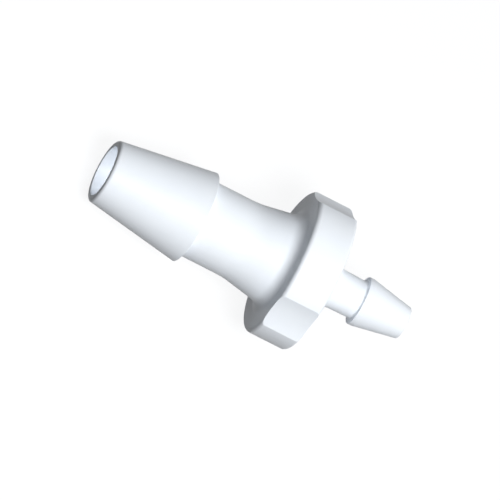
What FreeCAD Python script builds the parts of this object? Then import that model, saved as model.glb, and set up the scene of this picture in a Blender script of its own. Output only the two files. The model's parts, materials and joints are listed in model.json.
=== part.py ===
import FreeCAD, Part
import math
import os

# Barbed reducer fitting: one moulded piece that joins a wide hose to a narrow one.
# Lengths are in millimetres. While it is shaped, the fitting's own axis runs along +X from the middle
# of the wide mouth to the narrow tip. The finished piece then lies on its side as it comes to rest.

# Wide hose end
WIDE_MOUTH_DIAMETER = 8.1
WIDE_BARB_DIAMETER = 11.82
WIDE_BARB_LENGTH = 12.65
WIDE_STEM_DIAMETER = 9.86
WIDE_STEM_LENGTH = 6.4
WIDE_FLARE_DIAMETER = 11.82
WIDE_FLARE_LENGTH = 5.5
WIDE_FLARE_BLEND = 12.0
WIDE_ROOT_FILLET = 1.5
WIDE_MOUTH_ROUND = 0.5
WIDE_BARB_EDGE_ROUND = 0.05
WIDE_BORE_DIAMETER = 6.5

# Flange between the two ends, which stops both hoses and gives the fingers a grip
FLANGE_DIAMETER = 18.8
FLANGE_THICKNESS = 5.25
FLANGE_WIDE_SIDE_ROUND = 0.55
FLANGE_NARROW_SIDE_ROUND = 0.4
GRIP_COUNT = 3
GRIP_RADIUS = 13.2
GRIP_DEPTH = 0.69

# Narrow hose end
NARROW_MOUTH_DIAMETER = 4.1
NARROW_BARB_DIAMETER = 6.22
NARROW_BARB_CONE_LENGTH = 5.6
NARROW_BARB_LAND = 0.65
NARROW_STEM_DIAMETER = 4.88
NARROW_STEM_FOOT_DIAMETER = 5.1
NARROW_STEM_LENGTH = 5.45
NARROW_ROOT_FILLET = 2.7
NARROW_MOUTH_ROUND = 0.15
NARROW_BARB_EDGE_ROUND = 0.08
NARROW_BORE_DIAMETER = 2.8

# Bores: the wide one ends inside the flange, in a cone that leads down to the narrow one
BORE_LIP_ROUND = 0.1
STEM_CORNER_FILLET = 0.25
WIDE_BORE_PAST_FLANGE_FACE = 1.6
BORE_CONE_INCLUDED_ANGLE = 90.0

# Cutters run this far past the faces that they cut
CUTTER_OVERRUN = 1.0
# How closely the outline is followed when the resting pose is worked out
RESTING_OUTLINE_STEP = 0.005

WIDE_END_LENGTH = WIDE_BARB_LENGTH + WIDE_STEM_LENGTH + WIDE_FLARE_LENGTH
NARROW_END_LENGTH = NARROW_BARB_CONE_LENGTH + NARROW_BARB_LAND + NARROW_STEM_LENGTH
OVERALL_LENGTH = WIDE_END_LENGTH + FLANGE_THICKNESS + NARROW_END_LENGTH

AXIS = FreeCAD.Vector(1, 0, 0)
CENTRE = FreeCAD.Vector(0, 0, 0)


def wide_end():
    """Corners of the wide end's outline, from its mouth to the flange: (place, radius, rounding)."""
    flare_start = WIDE_BARB_LENGTH + WIDE_STEM_LENGTH
    return [
        (0, WIDE_MOUTH_DIAMETER / 2, WIDE_MOUTH_ROUND),
        (WIDE_BARB_LENGTH, WIDE_BARB_DIAMETER / 2, WIDE_BARB_EDGE_ROUND),
        (WIDE_BARB_LENGTH, WIDE_STEM_DIAMETER / 2, STEM_CORNER_FILLET),
        (flare_start, WIDE_STEM_DIAMETER / 2, WIDE_FLARE_BLEND),
        (WIDE_END_LENGTH, WIDE_FLARE_DIAMETER / 2, WIDE_ROOT_FILLET),
    ]


def narrow_end():
    """Corners of the narrow end's outline, from the flange to its tip: (place, radius, rounding)."""
    barb_front = OVERALL_LENGTH - NARROW_BARB_CONE_LENGTH
    barb_back = barb_front - NARROW_BARB_LAND
    return [
        (barb_back - NARROW_STEM_LENGTH, NARROW_STEM_FOOT_DIAMETER / 2, NARROW_ROOT_FILLET),
        (barb_back, NARROW_STEM_DIAMETER / 2, STEM_CORNER_FILLET),
        (barb_back, NARROW_BARB_DIAMETER / 2, NARROW_BARB_EDGE_ROUND),
        (barb_front, NARROW_BARB_DIAMETER / 2, 0),
        (OVERALL_LENGTH, NARROW_MOUTH_DIAMETER / 2, NARROW_MOUTH_ROUND),
    ]


def flange():
    """Corners of the flange's rim."""
    return [
        (WIDE_END_LENGTH, FLANGE_DIAMETER / 2, FLANGE_WIDE_SIDE_ROUND),
        (WIDE_END_LENGTH + FLANGE_THICKNESS, FLANGE_DIAMETER / 2, FLANGE_NARROW_SIDE_ROUND),
    ]


def bores():
    """Corners of the passage, from the narrow tip back to the wide mouth."""
    step = (WIDE_BORE_DIAMETER - NARROW_BORE_DIAMETER) / 2
    cone_length = step / math.tan(math.radians(BORE_CONE_INCLUDED_ANGLE / 2))
    cone_start = WIDE_END_LENGTH + WIDE_BORE_PAST_FLANGE_FACE
    return [
        (OVERALL_LENGTH, NARROW_BORE_DIAMETER / 2, BORE_LIP_ROUND),
        (cone_start + cone_length, NARROW_BORE_DIAMETER / 2, 0),
        (cone_start, WIDE_BORE_DIAMETER / 2, 0),
        (0, WIDE_BORE_DIAMETER / 2, BORE_LIP_ROUND),
    ]


def point(place, radius):
    """A point of the outline, which is drawn below the axis in the XZ plane."""
    return FreeCAD.Vector(place, 0, -radius)


def rounded_corner(before, corner, after, radius):
    """Where the tangent arc at a corner starts, passes its middle and ends.

    An arc takes at most half of the shorter side next to it, so a short wall limits it.
    """
    back = before - corner
    ahead = after - corner
    half_angle = back.getAngle(ahead) / 2
    reach = min(radius / math.tan(half_angle), 0.5 * min(back.Length, ahead.Length))
    radius = reach * math.tan(half_angle)
    back.normalize()
    ahead.normalize()
    inwards = back + ahead
    inwards.normalize()
    middle = corner + inwards * (radius / math.sin(half_angle) - radius)
    return corner + back * reach, middle, corner + ahead * reach


def rounded_wire(corners):
    """A closed wire through the corners, with a tangent arc at each one that has a rounding."""
    stations = []
    for number, (place, radius, rounding) in enumerate(corners):
        corner = point(place, radius)
        before = point(*corners[number - 1][:2])
        after = point(*corners[(number + 1) % len(corners)][:2])
        if rounding > 0:
            stations.append(rounded_corner(before, corner, after, rounding))
        else:
            stations.append((corner,))
    edges = []
    for number, station in enumerate(stations):
        if len(station) > 1:
            edges.append(Part.Arc(*station).toShape())
        start = station[-1]
        end = stations[(number + 1) % len(stations)][0]
        if start.distanceToPoint(end) > Part.Precision.confusion():
            edges.append(Part.LineSegment(start, end).toShape())
    return Part.Wire(edges)


def turned_body():
    """Both hose ends, the round flange and the passage, as one profile turned about the axis."""
    outline = rounded_wire(wide_end() + flange() + narrow_end() + bores())
    return Part.Face(outline).revolve(CENTRE, AXIS, 360)


def grip_cutter(angle):
    """A long-radius cylinder parallel to the axis, which scoops one shallow grip out of the rim."""
    distance = FLANGE_DIAMETER / 2 - GRIP_DEPTH + GRIP_RADIUS
    start = FreeCAD.Vector(WIDE_END_LENGTH - CUTTER_OVERRUN, 0, -distance)
    length = FLANGE_THICKNESS + 2 * CUTTER_OVERRUN
    cutter = Part.makeCylinder(GRIP_RADIUS, length, start, AXIS)
    cutter.rotate(CENTRE, AXIS, angle)
    return cutter


def with_grips(body):
    """The body with its grips cut evenly round the flange, the first one straight below the axis."""
    cutters = [grip_cutter(360 / GRIP_COUNT * number) for number in range(GRIP_COUNT)]
    return body.cut(cutters).Solids[0]


def lowest_outline(shape):
    """The lower side of the shape's outline seen from the side, as a convex chain of (X, Z) points.

    The turned faces have their seams where the outline was drawn, below the axis, so the edges of
    the shape hold all of its lowest points.
    """
    points = []
    for edge in shape.Edges:
        points += edge.discretize(Deflection=RESTING_OUTLINE_STEP)
    chain = []
    for place, height in sorted((low.x, low.z) for low in points):
        while len(chain) > 1:
            (x1, z1), (x2, z2) = chain[-2:]
            if (x2 - x1) * (height - z1) > (z2 - z1) * (place - x1):
                break
            chain.pop()
        chain.append((place, height))
    return chain


def resting_tilt(shape):
    """How far the axis leans when the piece lies on the two places either side of its weight."""
    chain = lowest_outline(shape)
    balance = shape.CenterOfMass.x
    for (x1, z1), (x2, z2) in zip(chain, chain[1:]):
        if x1 <= balance <= x2:
            return math.degrees(math.atan2(z2 - z1, x2 - x1))


def laid_down(shape):
    """The piece as it lies, with the middle of the foot of its bounding box at the origin."""
    shape.rotate(CENTRE, FreeCAD.Vector(0, 1, 0), resting_tilt(shape))
    box = shape.optimalBoundingBox(False)
    shape.translate(FreeCAD.Vector(-box.Center.x, -box.Center.y, -box.ZMin))
    return shape


def main():
    os.makedirs("parts", exist_ok=True)
    fitting = laid_down(with_grips(turned_body()))
    fitting.exportStep("parts/reducer_fitting.step")


main()
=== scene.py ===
# %% [markdown]
# # A barbed reducer fitting in natural polypropylene
#
# This lesson dresses one small moulded fitting, which joins a wide hose to a narrow one. It has a hose barb
# at each end and a thick flange with three shallow finger grips between them. The real one leaves its mould
# in one piece, so the whole lesson makes one closed mesh, one plastic for it, and a plain white studio.
#
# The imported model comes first. It fixes where the fitting lies and how large it is, and nothing in the
# lesson moves it.

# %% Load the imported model
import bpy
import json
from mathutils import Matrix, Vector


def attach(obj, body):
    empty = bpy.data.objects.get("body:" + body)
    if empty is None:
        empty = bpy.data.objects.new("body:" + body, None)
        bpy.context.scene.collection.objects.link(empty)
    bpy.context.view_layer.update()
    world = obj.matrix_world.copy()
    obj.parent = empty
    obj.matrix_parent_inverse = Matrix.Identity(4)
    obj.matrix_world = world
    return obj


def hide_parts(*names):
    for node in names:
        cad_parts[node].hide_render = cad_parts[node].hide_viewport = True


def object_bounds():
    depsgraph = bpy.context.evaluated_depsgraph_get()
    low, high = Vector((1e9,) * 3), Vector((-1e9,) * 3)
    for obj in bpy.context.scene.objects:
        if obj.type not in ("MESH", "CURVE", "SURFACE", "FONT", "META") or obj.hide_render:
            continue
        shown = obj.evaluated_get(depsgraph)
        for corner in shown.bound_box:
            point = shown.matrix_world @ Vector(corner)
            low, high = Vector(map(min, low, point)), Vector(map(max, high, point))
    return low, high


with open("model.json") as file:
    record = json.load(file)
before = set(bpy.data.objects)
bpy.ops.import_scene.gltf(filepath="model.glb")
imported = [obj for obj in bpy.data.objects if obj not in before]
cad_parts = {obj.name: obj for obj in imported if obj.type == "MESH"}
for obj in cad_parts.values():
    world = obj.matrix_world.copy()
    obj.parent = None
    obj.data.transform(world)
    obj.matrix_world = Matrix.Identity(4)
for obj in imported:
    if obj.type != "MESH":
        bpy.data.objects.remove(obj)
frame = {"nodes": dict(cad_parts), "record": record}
print("packed nodes:", list(frame["nodes"]))

# %% [markdown]
# The box of the imported model is measured before anything is added, and later steps place the floor and
# the lamps by it. Blender counts in metres, and a fitting this small is easier to read in millimetres,
# so one named value turns the one into the other.

# %% Measure the box of the imported model
import json
import math

import bmesh
import bpy
from mathutils import Matrix, Vector
from mathutils.bvhtree import BVHTree

MM = 0.001


def in_millimetres(values):
    return [round(value / MM, 2) for value in values]


packed_box = [list(corner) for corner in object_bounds()]
print("packed box in millimetres:", [in_millimetres(corner) for corner in packed_box])

# %% [markdown]
# ## Where the fitting lies
#
# It rests on the rim of its wide mouth and on its flange, so its narrow end points up a little. The record
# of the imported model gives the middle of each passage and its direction. From these come the two things
# that place the fitting: the middle of the wide mouth, and a turn made of three directions. The first runs
# along the fitting to its narrow tip, the second down through the lower grip, and the third is square to
# both. The record counts the wide passage from behind its rounded lip, so the mouth lies half the passage's
# length and one lip before the passage's middle.

# %% Find the mouth and the directions of the fitting
BORE_LIP_ROUND = 0.1

mounts = {mount["name"]: mount for mount in frame["record"]["mounts"]}
along = Vector(mounts["narrow_bore"]["axis"]).normalized()
wide_bore = mounts["wide_bore"]
wide_bore_length = wide_bore["dims"]["length_mm"] * MM
mouth = Vector(wide_bore["pos_m"]) - along * (wide_bore_length / 2 + BORE_LIP_ROUND * MM)
across = along.cross(Vector((0, 0, -1))).normalized()
down = across.cross(along)
lying = Matrix((along, down, along.cross(down))).transposed()
print("mouth in millimetres:", in_millimetres(mouth))
print("the axis rises by", round(math.degrees(math.asin(along.z)), 2), "degrees")

# %% [markdown]
# ## The camera
#
# The fitting's axis falls to the right in the picture, and its open wide mouth is turned a little towards
# the viewer, which gives two angles. The place of the lower grip on the flange gives the third, the turn
# about the axis, counted from the side that is nearest to the viewer. These three say how the fitting is
# seen. How it lies is known too, so the turn from the one to the other is the turn of the camera.

# %% Find the turn between the world and the picture
AXIS_FALL = math.radians(27.0)
MOUTH_TURN = math.radians(13.5)
GRIP_TURN = math.radians(159.4)

seen_along = Vector((
    math.cos(MOUTH_TURN) * math.cos(AXIS_FALL),
    -math.cos(MOUTH_TURN) * math.sin(AXIS_FALL),
    -math.sin(MOUTH_TURN),
))
seen_near = (Vector((0, 0, 1)) - seen_along * seen_along.z).normalized()
seen_down = seen_near * math.cos(GRIP_TURN) + seen_along.cross(seen_near) * math.sin(GRIP_TURN)
seen = Matrix((seen_along, seen_down, seen_along.cross(seen_down))).transposed()
to_view = seen @ lying.transposed()
to_world = to_view.transposed()
print("direction to the camera:", [round(value, 3) for value in to_world @ Vector((0, 0, 1))])

# %% [markdown]
# The flange is as tall on its near side as on its far side, so there is no perspective to copy, and the
# camera is an orthographic one. The width of the flange in the picture says how long one pixel is. The
# pixel where the middle of the mouth shows then gives the camera its place. It stands 20 centimetres off,
# and it draws nothing that is nearer to it than 2 millimetres or farther than 2 metres.

# %% Place the camera
PICTURE_SIDE = 500
PIXEL = 0.12 * MM
MOUTH_PIXEL = (103.8, 170.5)
CAMERA_DISTANCE = 0.2
NEAREST_DRAWN = 0.002
FARTHEST_DRAWN = 2.0

mouth_seen = to_view @ mouth
middle_seen = Vector((
    mouth_seen.x - (MOUTH_PIXEL[0] - PICTURE_SIDE / 2) * PIXEL,
    mouth_seen.y + (MOUTH_PIXEL[1] - PICTURE_SIDE / 2) * PIXEL,
    mouth_seen.z + CAMERA_DISTANCE,
))
bpy.ops.object.camera_add(location=to_world @ middle_seen, rotation=to_world.to_euler())
camera = bpy.context.object
camera.name = "camera"
camera.data.type = "ORTHO"
camera.data.ortho_scale = PICTURE_SIDE * PIXEL
camera.data.clip_start = NEAREST_DRAWN
camera.data.clip_end = FARTHEST_DRAWN
bpy.context.scene.camera = camera
print("the picture is", round(camera.data.ortho_scale / MM, 1), "millimetres wide")

# %% [markdown]
# ## The outline
#
# The mould's cavity is turned on a lathe, so every section through the fitting's axis is the same outline:
# up the wide cone, down behind its barb, along the stem and its flare, round the flange, down to the narrow
# stem and barb, and back through the passage. It could be built from stacked cones, but then each rounded
# corner would need a mesh of its own. Drawing the outline once and turning it makes all of them together,
# as the lathe does.
#
# Each corner of it needs three values in millimetres. The first is its distance from the axis.

# %% Measure out from the axis
WIDE_BORE_RADIUS = 3.25
WIDE_MOUTH_RADIUS = 4.05
WIDE_BARB_RADIUS = 5.91
WIDE_STEM_RADIUS = 4.93
WIDE_FLARE_RADIUS = 5.91
FLANGE_RADIUS = 9.4
NARROW_STEM_FOOT_RADIUS = 2.55
NARROW_STEM_RADIUS = 2.44
NARROW_BARB_RADIUS = 3.11
NARROW_MOUTH_RADIUS = 2.05
NARROW_BORE_RADIUS = 1.4
print("the wide barb stands", round(WIDE_BARB_RADIUS - WIDE_STEM_RADIUS, 2), "millimetres over its stem")

# %% [markdown]
# The second is its place along the axis, counted from the wide mouth. Each place is the one before it and
# the length of one part of the fitting. The wide passage ends inside the flange, in a cone as long as the
# step between the two passages is high, which makes it a right-angled one.

# %% Measure along the axis
WIDE_BARB_LENGTH = 12.65
WIDE_STEM_LENGTH = 6.4
WIDE_FLARE_LENGTH = 5.5
FLANGE_THICKNESS = 5.25
NARROW_STEM_LENGTH = 5.45
NARROW_BARB_LAND = 0.65
NARROW_BARB_CONE_LENGTH = 5.6
WIDE_BORE_PAST_FLANGE_FACE = 1.6

WIDE_STEM_END = WIDE_BARB_LENGTH + WIDE_STEM_LENGTH
FLANGE_START = WIDE_STEM_END + WIDE_FLARE_LENGTH
FLANGE_END = FLANGE_START + FLANGE_THICKNESS
NARROW_BARB_BACK = FLANGE_END + NARROW_STEM_LENGTH
NARROW_BARB_FRONT = NARROW_BARB_BACK + NARROW_BARB_LAND
TIP = NARROW_BARB_FRONT + NARROW_BARB_CONE_LENGTH
WIDE_BORE_END = FLANGE_START + WIDE_BORE_PAST_FLANGE_FACE
NARROW_BORE_START = WIDE_BORE_END + WIDE_BORE_RADIUS - NARROW_BORE_RADIUS
print("the fitting is", round(TIP, 2), "millimetres long")

# %% [markdown]
# The third is the radius of its rounding. Moulded corners are rounded wherever the steel is: hardly at all
# on the barbs' edges, which have to bite into the hose, and generously at the foot of the narrow stem, which
# would snap at a sharp corner. A corner with a 0 stays sharp.

# %% Write the corners of the outline
MOUTH_ROUND = 0.5
WIDE_BARB_EDGE_ROUND = 0.05
STEM_CORNER_ROUND = 0.25
FLARE_ROUND = 12.0
WIDE_ROOT_ROUND = 1.5
FLANGE_WIDE_SIDE_ROUND = 0.55
FLANGE_NARROW_SIDE_ROUND = 0.4
NARROW_ROOT_ROUND = 2.7
NARROW_BARB_EDGE_ROUND = 0.08
TIP_ROUND = 0.15

CORNERS = [
    (WIDE_BORE_RADIUS, 0, BORE_LIP_ROUND),
    (WIDE_MOUTH_RADIUS, 0, MOUTH_ROUND),
    (WIDE_BARB_RADIUS, WIDE_BARB_LENGTH, WIDE_BARB_EDGE_ROUND),
    (WIDE_STEM_RADIUS, WIDE_BARB_LENGTH, STEM_CORNER_ROUND),
    (WIDE_STEM_RADIUS, WIDE_STEM_END, FLARE_ROUND),
    (WIDE_FLARE_RADIUS, FLANGE_START, WIDE_ROOT_ROUND),
    (FLANGE_RADIUS, FLANGE_START, FLANGE_WIDE_SIDE_ROUND),
    (FLANGE_RADIUS, FLANGE_END, FLANGE_NARROW_SIDE_ROUND),
    (NARROW_STEM_FOOT_RADIUS, FLANGE_END, NARROW_ROOT_ROUND),
    (NARROW_STEM_RADIUS, NARROW_BARB_BACK, STEM_CORNER_ROUND),
    (NARROW_BARB_RADIUS, NARROW_BARB_BACK, NARROW_BARB_EDGE_ROUND),
    (NARROW_BARB_RADIUS, NARROW_BARB_FRONT, 0),
    (NARROW_MOUTH_RADIUS, TIP, TIP_ROUND),
    (NARROW_BORE_RADIUS, TIP, BORE_LIP_ROUND),
    (NARROW_BORE_RADIUS, NARROW_BORE_START, 0),
    (WIDE_BORE_RADIUS, WIDE_BORE_END, 0),
]
print(len(CORNERS), "corners,", sum(1 for corner in CORNERS if corner[2] > 0), "of them rounded")

# %% [markdown]
# The outline is drawn with a pen, which is one selected vertex. Extruding it draws a straight side, and
# spinning it about a point beside it draws an arc. A plane merged into its middle is the quickest way to
# one single vertex.

# %% Make a pen of one vertex
ARC_STEP = math.radians(7)
FEWEST_ARC_STEPS = 3


def start_pen(place):
    bpy.ops.object.select_all(action="DESELECT")
    bpy.ops.mesh.primitive_plane_add(size=MM, location=(0, 0, 0))
    bpy.ops.object.mode_set(mode="EDIT")
    bpy.ops.mesh.select_mode(type="VERT")
    bpy.ops.mesh.select_all(action="SELECT")
    bpy.ops.mesh.merge(type="CENTER")
    bpy.ops.transform.translate(value=place)
    return bpy.context.object


def draw_line(step):
    bpy.ops.mesh.extrude_region_move(TRANSFORM_OT_translate={"value": step})


def draw_arc(centre, turn):
    """The pen goes round a centre, anticlockwise for a positive turn. Spin itself counts clockwise."""
    steps = max(FEWEST_ARC_STEPS, math.ceil(abs(turn) / ARC_STEP))
    bpy.ops.mesh.spin(steps=steps, angle=-turn, center=centre, axis=(0, 0, 1))


print("an arc over a right angle has", math.ceil(math.pi / 2 / ARC_STEP), "steps")

# %% [markdown]
# A rounded corner starts its arc before the corner and ends it as far behind, so that the arc runs smoothly
# into both sides. An arc takes at most half of the shorter side next to it, so that two roundings never
# meet. A bevel could round the corners too, but it asks for each corner's vertex by hand, and its steps
# can't keep to one angle on a small and a large radius alike.

# %% Find the arc of a rounded corner
def corner_arc(before, corner, after, radius):
    """The start, centre, turn and end of the arc at a corner."""
    back = before - corner
    ahead = after - corner
    turn = math.pi - back.angle(ahead)
    reach = min(radius * math.tan(turn / 2), back.length / 2, ahead.length / 2)
    to_centre = Vector((back.y, -back.x, 0)).normalized()
    if back.cross(ahead).z > 0:
        to_centre.negate()
        turn = -turn
    start = corner + back.normalized() * reach
    centre = start + to_centre * (reach / math.tan(abs(turn) / 2))
    return start, centre, turn, corner + ahead.normalized() * reach


square = [Vector((0, 0, 0)), Vector((2, 0, 0)), Vector((2, 2, 0))]
print("an arc of radius 1 in a square corner starts at", corner_arc(*square, 1)[0][:2])

# %% [markdown]
# The outline lies in the XY plane while it is drawn, with X along the fitting's axis. It starts at the last
# corner and goes once round to it again, where its two ends are merged.

# %% Draw the whole outline
MERGE_DISTANCE = 0.0005 * MM


def draw_outline(corners):
    points = [Vector((place * MM, distance * MM, 0)) for distance, place, rounding in corners]
    pen = points[-1]
    outline = start_pen(pen)
    for number, point in enumerate(points):
        rounding = corners[number][2] * MM
        if rounding:
            after = points[(number + 1) % len(points)]
            start, centre, turn, end = corner_arc(points[number - 1], point, after, rounding)
            draw_line(start - pen)
            draw_arc(centre, turn)
            pen = end
        else:
            draw_line(point - pen)
            pen = point
    bpy.ops.mesh.select_all(action="SELECT")
    bpy.ops.mesh.remove_doubles(threshold=MERGE_DISTANCE)
    bpy.ops.object.mode_set(mode="OBJECT")
    return outline


fitting = draw_outline(CORNERS)
fitting.name = "moulded_fitting"
print(len(fitting.data.vertices), "points in the outline")

# %% [markdown]
# ## Turning it
#
# Spin copies the outline round the axis in equal steps and joins each copy to the last one. With 240 steps
# a facet of the flange is a quarter of a millimetre wide, far too narrow to show on its edge. After a full
# turn the last copy lands on the first, and its auto merge makes one of the two. The turned skin can be
# inside out, and it is a closed one, so its normals are recalculated to point outwards.

# %% Turn the outline about the axis
TURN_STEPS = 240

bpy.ops.object.mode_set(mode="EDIT")
bpy.ops.mesh.select_all(action="SELECT")
bpy.ops.mesh.spin(
    steps=TURN_STEPS, angle=2 * math.pi, center=(0, 0, 0), axis=(1, 0, 0), use_auto_merge=True
)
bpy.ops.mesh.select_all(action="SELECT")
bpy.ops.mesh.normals_make_consistent(inside=False)
bpy.ops.object.mode_set(mode="OBJECT")
print(len(fitting.data.vertices), "points and", len(fitting.data.polygons), "faces in the turned skin")

# %% [markdown]
# ## The finger grips
#
# Three shallow scoops are cut across the rim of the flange, so that fingers can turn the fitting as a hose
# is pushed on. They cut through the rounded rim as well, which gives each scoop its curved ends. Moving
# vertices inwards by hand could not follow that edge. A cylinder with a long radius, parallel to the axis,
# is exactly the form of the scoop, so three of them are cut away with a boolean, one after another. Each is
# a little longer than the flange is thick, so that it cuts right through both of its faces.

# %% Cut the three grips
GRIP_RADIUS = 13.2
GRIP_DEPTH = 0.69
GRIP_COUNT = 3
CUTTER_FACETS = 360
CUTTER_OVERRUN = 1.0


def cut_grip(body, angle):
    """One scoop cut out of the rim. At an angle of 0 it is straight below the axis of the lying fitting."""
    distance = (FLANGE_RADIUS - GRIP_DEPTH + GRIP_RADIUS) * MM
    middle = (FLANGE_START + FLANGE_END) / 2 * MM
    bpy.ops.object.select_all(action="DESELECT")
    bpy.ops.mesh.primitive_cylinder_add(
        vertices=CUTTER_FACETS,
        radius=GRIP_RADIUS * MM,
        depth=(FLANGE_END - FLANGE_START + 2 * CUTTER_OVERRUN) * MM,
        location=(middle, distance * math.cos(angle), distance * math.sin(angle)),
        rotation=(0, math.pi / 2, 0),
    )
    cutter = bpy.context.object
    bpy.ops.object.select_all(action="DESELECT")
    body.select_set(True)
    bpy.context.view_layer.objects.active = body
    cut = body.modifiers.new("grip", "BOOLEAN")
    cut.operation = "DIFFERENCE"
    cut.solver = "EXACT"
    cut.object = cutter
    bpy.ops.object.modifier_apply(modifier=cut.name)
    bpy.data.objects.remove(cutter)


for number in range(GRIP_COUNT):
    cut_grip(fitting, 2 * math.pi / GRIP_COUNT * number)
print(len(fitting.data.polygons), "faces after the cuts")

# %% [markdown]
# ## Laying it down
#
# The outline was drawn from the origin along X, because that is easy to write. The lying fitting starts at
# its mouth and leans. One matrix holds both, the turn and the place, and applying it moves them into the
# mesh. The object itself stays unturned at the origin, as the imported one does, so the two share one frame.

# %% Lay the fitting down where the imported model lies
fitting.matrix_world = Matrix.Translation(mouth) @ lying.to_4x4()
bpy.ops.object.transform_apply(location=True, rotation=True, scale=True)
lowest = min(vertex.co.z for vertex in fitting.data.vertices)
print("the two lowest points are", round(abs(lowest - packed_box[0][2]) / MM, 3), "millimetres apart")

# %% [markdown]
# ## Shading
#
# A turned steel mould leaves no facets, so the skin is shaded smooth. The creases of the grips and the
# backs of the barbs are crisp on the real one and have to stay so. Shading by angle keeps an edge crisp
# where its faces meet at more than a set angle, and the arcs turn by less than that at each step. Weighting
# the normals by the size of the faces then keeps the long flat sides even beside the narrow faces of the
# roundings.

# %% Shade it smooth
SHARP_ANGLE = math.radians(9)

bpy.ops.object.shade_smooth_by_angle(angle=SHARP_ANGLE)
weigh = fitting.modifiers.new("even_faces", "WEIGHTED_NORMAL")
weigh.keep_sharp = True
bpy.ops.object.modifier_apply(modifier=weigh.name)
print(sum(1 for edge in fitting.data.edges if edge.use_edge_sharp), "sharp edges")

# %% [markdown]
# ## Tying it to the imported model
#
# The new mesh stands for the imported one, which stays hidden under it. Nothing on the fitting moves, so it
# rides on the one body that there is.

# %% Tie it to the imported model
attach(fitting, "root")
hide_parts("reducer_fitting")
print(fitting.name, "stands for reducer_fitting")

# %% [markdown]
# A mesh that replaces another has to be closed and of the same size. Three measures show it: how many edges
# don't join two faces, the two volumes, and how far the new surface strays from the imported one. The packed
# mesh is made of loose triangles, so its edges aren't counted. Its facets are coarser and cut across more
# of each curve, which makes its volume about a thousandth smaller.

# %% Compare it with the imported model
def edges_and_volume(piece):
    """How many edges don't join two faces, and the volume in cubic millimetres."""
    mesh = bmesh.new()
    mesh.from_mesh(piece.data)
    open_edges = sum(1 for edge in mesh.edges if not edge.is_manifold)
    volume = round(mesh.calc_volume() / MM ** 3, 2)
    mesh.free()
    return open_edges, volume


def surface_gap(piece, node):
    """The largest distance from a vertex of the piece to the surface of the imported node."""
    tree = BVHTree.FromPolygons(
        [vertex.co for vertex in node.data.vertices], [list(face.vertices) for face in node.data.polygons]
    )
    return max(tree.find_nearest(vertex.co)[3] for vertex in piece.data.vertices)


packed = frame["nodes"]["reducer_fitting"]
open_edges, volume = edges_and_volume(fitting)
gap = surface_gap(fitting, packed)
print("open edges:", open_edges)
print("volume in cubic millimetres:", volume, "and of the packed one:", edges_and_volume(packed)[1])
print("largest distance from the packed surface in millimetres:", round(gap / MM, 4))
print("triangles:", sum(len(face.vertices) - 2 for face in fitting.data.polygons))

# %% [markdown]
# ## Colours and nodes
#
# Colours are written as the sRGB hex values that a colour picker shows, and shaders work with linear light,
# so one function turns the one into the other, with the numbers of the sRGB standard. A second one empties
# the node tree that a new material or world comes with, so that it holds only what the lesson puts there.
# A third one adds a node with its settings, its values and its links in a single call, which keeps each
# material as short as a list of what is in it.

# %% Three helpers for colours and nodes
def linear_colour(hex_colour):
    values = [int(hex_colour[place:place + 2], 16) / 255 for place in (0, 2, 4)]
    linear = [((value + 0.055) / 1.055) ** 2.4 if value > 0.04045 else value / 12.92 for value in values]
    return (*linear, 1.0)


def empty_tree(owner):
    """The node tree of a new material or world, with nothing in it."""
    owner.use_nodes = True
    owner.node_tree.nodes.clear()
    return owner.node_tree


def add_node(tree, kind, settings=None, values=None, links=None):
    """A node with its settings, its socket values, and links from other sockets to its inputs."""
    node = tree.nodes.new(kind)
    for name, value in (settings or {}).items():
        setattr(node, name, value)
    for name, value in (values or {}).items():
        node.inputs[name].default_value = value
    for name, source in (links or {}).items():
        tree.links.new(source, node.inputs[name])
    return node


print("half grey in linear light:", round(linear_colour("808080")[0], 3))

# %% [markdown]
# ## The plastic
#
# The fitting is natural polypropylene: the plain milky plastic without dye, injected hot into a steel mould.
# Three things make it look like that. Light goes a little way into it and comes out beside where it
# entered, so its shadows are soft: that is the subsurface share, with a reach of a third of a millimetre
# for red, green and blue alike. Its skin is a copy of the steel, with a fine satin grain that spreads
# highlights: that is the roughness and the bump. The grain also shades itself, so the skin mirrors the
# white room only half as strongly as a polished one: that is the specular level, which is 0.5 for a
# polished skin. And the melt is never quite even, so the milkiness drifts a little over a few millimetres:
# that is the mix of two slightly cool whites. White paint would have none of these.
#
# Every pattern reads the object's own coordinates, which are real lengths, so its scale is a real size. The
# grain is the exception: a real one is finer than a pixel, so it is drawn about three pixels wide. The
# detail of a noise is how many finer layers lie over its first one. On a colour Mix, input 0 is the factor,
# inputs 6 and 7 are the two colours, and output 2 is the mixed one.

# %% Natural polypropylene, injection moulded
MILKY_WHITE = "F0F5FB"
CLEARER_WHITE = "EBF1F9"
CLOUD_SIZE = 6.0 * MM
CLOUD_DETAIL = 2.0
GRAIN_SIZE = 0.35 * MM
GRAIN_DETAIL = 3.0
GRAIN_DEPTH = 0.004 * MM
SATIN_SMOOTHEST = 0.34
SATIN_ROUGHEST = 0.46
MILKY_SHARE = 0.15
LIGHT_REACH = 0.3 * MM
POLYPROPYLENE_IOR = 1.49
SATIN_REFLECTION = 0.25


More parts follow.
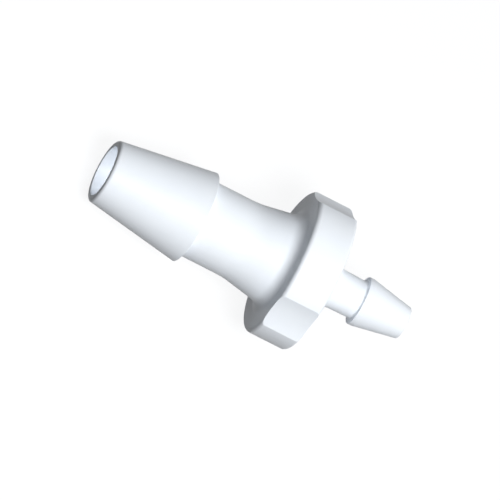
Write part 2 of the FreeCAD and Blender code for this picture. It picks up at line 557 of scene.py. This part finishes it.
def natural_polypropylene():
    material = bpy.data.materials.new("natural_polypropylene")
    tree = empty_tree(material)
    place = add_node(tree, "ShaderNodeTexCoord").outputs["Object"]
    clouds = add_node(
        tree, "ShaderNodeTexNoise",
        values={"Scale": 1 / CLOUD_SIZE, "Detail": CLOUD_DETAIL},
        links={"Vector": place},
    )
    grain = add_node(
        tree, "ShaderNodeTexNoise",
        values={"Scale": 1 / GRAIN_SIZE, "Detail": GRAIN_DETAIL},
        links={"Vector": place},
    )
    colour = add_node(
        tree, "ShaderNodeMix",
        settings={"data_type": "RGBA"},
        values={6: linear_colour(CLEARER_WHITE), 7: linear_colour(MILKY_WHITE)},
        links={0: clouds.outputs["Fac"]},
    )
    gloss = add_node(
        tree, "ShaderNodeMapRange",
        values={"To Min": SATIN_SMOOTHEST, "To Max": SATIN_ROUGHEST},
        links={"Value": grain.outputs["Fac"]},
    )
    skin = add_node(
        tree, "ShaderNodeBump",
        values={"Strength": 1.0, "Distance": GRAIN_DEPTH},
        links={"Height": grain.outputs["Fac"]},
    )
    plastic = add_node(
        tree, "ShaderNodeBsdfPrincipled",
        values={
            "IOR": POLYPROPYLENE_IOR,
            "Specular IOR Level": SATIN_REFLECTION,
            "Subsurface Weight": MILKY_SHARE,
            "Subsurface Radius": (1.0, 1.0, 1.0),
            "Subsurface Scale": LIGHT_REACH,
        },
        links={
            "Base Color": colour.outputs[2],
            "Roughness": gloss.outputs["Result"],
            "Normal": skin.outputs["Normal"],
        },
    )
    add_node(tree, "ShaderNodeOutputMaterial", links={"Surface": plastic.outputs["BSDF"]})
    return material


fitting.data.materials.append(natural_polypropylene())
print("finish:", fitting.data.materials[0].name)

# %% [markdown]
# ## The studio
#
# The photograph shows the fitting on pure white, almost without a shadow. A sheet of white paper as close
# as this would throw light up into every shaded side, and the photograph has no such light: the side of
# the flange that turns away from the lamps is dark. So the world and the floor answer two kinds of ray
# differently. Rays from the camera, reflections and light that passes through meet white. All other light
# meets something dark. The Light Path node tells the two kinds apart.
#
# As a light, the world is a tenth of the white that is seen. It comes from all round and keeps the deepest
# corners from going black.

# %% Light the world
SEEN_WHITE = "FFFFFF"
WORLD_LIGHT = 0.1


def seen_directly(tree):
    """One for rays from the camera, for reflections and for light that passes through, and else nothing."""
    ray = add_node(tree, "ShaderNodeLightPath")
    either = add_node(
        tree, "ShaderNodeMath",
        settings={"operation": "MAXIMUM"},
        links={0: ray.outputs["Is Camera Ray"], 1: ray.outputs["Is Glossy Ray"]},
    )
    any_of_three = add_node(
        tree, "ShaderNodeMath",
        settings={"operation": "MAXIMUM"},
        links={0: either.outputs["Value"], 1: ray.outputs["Is Transmission Ray"]},
    )
    return any_of_three.outputs["Value"]


world = bpy.data.worlds.new("studio")
tree = empty_tree(world)
level = add_node(
    tree, "ShaderNodeMapRange",
    values={"To Min": WORLD_LIGHT, "To Max": 1.0},
    links={"Value": seen_directly(tree)},
)
sky = add_node(
    tree, "ShaderNodeBackground",
    values={"Color": linear_colour(SEEN_WHITE)},
    links={"Strength": level.outputs["Result"]},
)
add_node(tree, "ShaderNodeOutputWorld", links={"Surface": sky.outputs["Background"]})
bpy.context.scene.world = world
bpy.context.scene.view_settings.view_transform = "Standard"
print("light from all round:", WORLD_LIGHT)

# %% [markdown]
# The fitting lies on a large sheet of paper. When it is seen, the sheet shines by itself at two thirds of
# white and takes the last third from the lamps. So it is white all over, and the fitting still leaves a
# faint soft shadow on it. To all other light it is dark cloth.

# %% Lay the white sheet
PAPER_GREY = "959697"
CLOTH_GREY = "2E2F30"
PAPER_GLOW = 0.68
FLOOR_SIZE = 2.0


def studio_paper():
    material = bpy.data.materials.new("studio_paper")
    tree = empty_tree(material)
    seen = seen_directly(tree)
    colour = add_node(
        tree, "ShaderNodeMix",
        settings={"data_type": "RGBA"},
        values={6: linear_colour(CLOTH_GREY), 7: linear_colour(PAPER_GREY)},
        links={0: seen},
    )
    strength = add_node(tree, "ShaderNodeMapRange", values={"To Max": PAPER_GLOW}, links={"Value": seen})
    paper = add_node(tree, "ShaderNodeBsdfDiffuse", links={"Color": colour.outputs[2]})
    glow = add_node(tree, "ShaderNodeEmission", links={"Strength": strength.outputs["Result"]})
    both = add_node(
        tree, "ShaderNodeAddShader", links={0: paper.outputs["BSDF"], 1: glow.outputs["Emission"]}
    )
    add_node(tree, "ShaderNodeOutputMaterial", links={"Surface": both.outputs["Shader"]})
    return material


bpy.ops.object.select_all(action="DESELECT")
bpy.ops.mesh.primitive_plane_add(size=FLOOR_SIZE, location=(0, 0, packed_box[0][2]))
floor = bpy.context.object
floor.name = "floor"
floor.data.materials.append(studio_paper())
print("the floor is", floor.dimensions.x, "metres wide")

# %% [markdown]
# ## The lamps
#
# What faces up and towards the viewer is white in the photograph, and the flange's wide face, which the
# viewer sees at a glancing angle, is the darkest place. So the light comes from above the fitting and a
# little in front of it. But the inside of the wide mouth is as white as its outside, and a lamp up there
# can't reach in past the mouth's own rim. So two round soft boxes share one place. The key lamp casts a
# shadow, which the floor keeps. The fill lamp has its shadow switched off and reaches into the mouth, as
# the light does that bounces about inside a small white tent. A weak third lamp, low behind the fitting,
# keeps its far side from going dark when it is seen from there.
#
# The strength of a lamp in watts says little about the picture. Here it is worked out from the light that
# a white surface facing the lamp sends back, where 1 is white. Straight ahead, a round lamp spreads its
# watts over pi times the sum of the squares of its distance and its radius. A matt surface divides what it
# gets by pi once more, because it sends it to all sides.

# %% Hang the lamps
LAMP_DISTANCE = 0.5
TARGET = Vector((0, 0, (packed_box[0][2] + packed_box[1][2]) / 2))
LIGHT_AZIMUTH = 0
LIGHT_HEIGHT = 68
SOFT_BOX = 0.2


def add_lamp(name, azimuth, height, light, casts_shadow=True):
    """A round soft box at two angles in degrees: round the fitting from its front, and over the floor."""
    turn = math.radians(azimuth)
    lift = math.radians(height)
    direction = Vector((math.sin(turn) * math.cos(lift), -math.cos(turn) * math.cos(lift), math.sin(lift)))
    bpy.ops.object.light_add(
        type="AREA",
        location=TARGET + direction * LAMP_DISTANCE,
        rotation=direction.to_track_quat("Z", "Y").to_euler(),
    )
    lamp = bpy.context.object
    lamp.name = name
    lamp.data.shape = "DISK"
    lamp.data.size = SOFT_BOX
    lamp.data.energy = light * math.pi ** 2 * (LAMP_DISTANCE ** 2 + (SOFT_BOX / 2) ** 2)
    lamp.data.use_shadow = casts_shadow
    print(name, "in watts:", round(lamp.data.energy, 2))


add_lamp("key_lamp", LIGHT_AZIMUTH, LIGHT_HEIGHT, light=0.35)
add_lamp("fill_lamp", LIGHT_AZIMUTH, LIGHT_HEIGHT, light=0.75, casts_shadow=False)
add_lamp("back_lamp", azimuth=135, height=12, light=0.22)
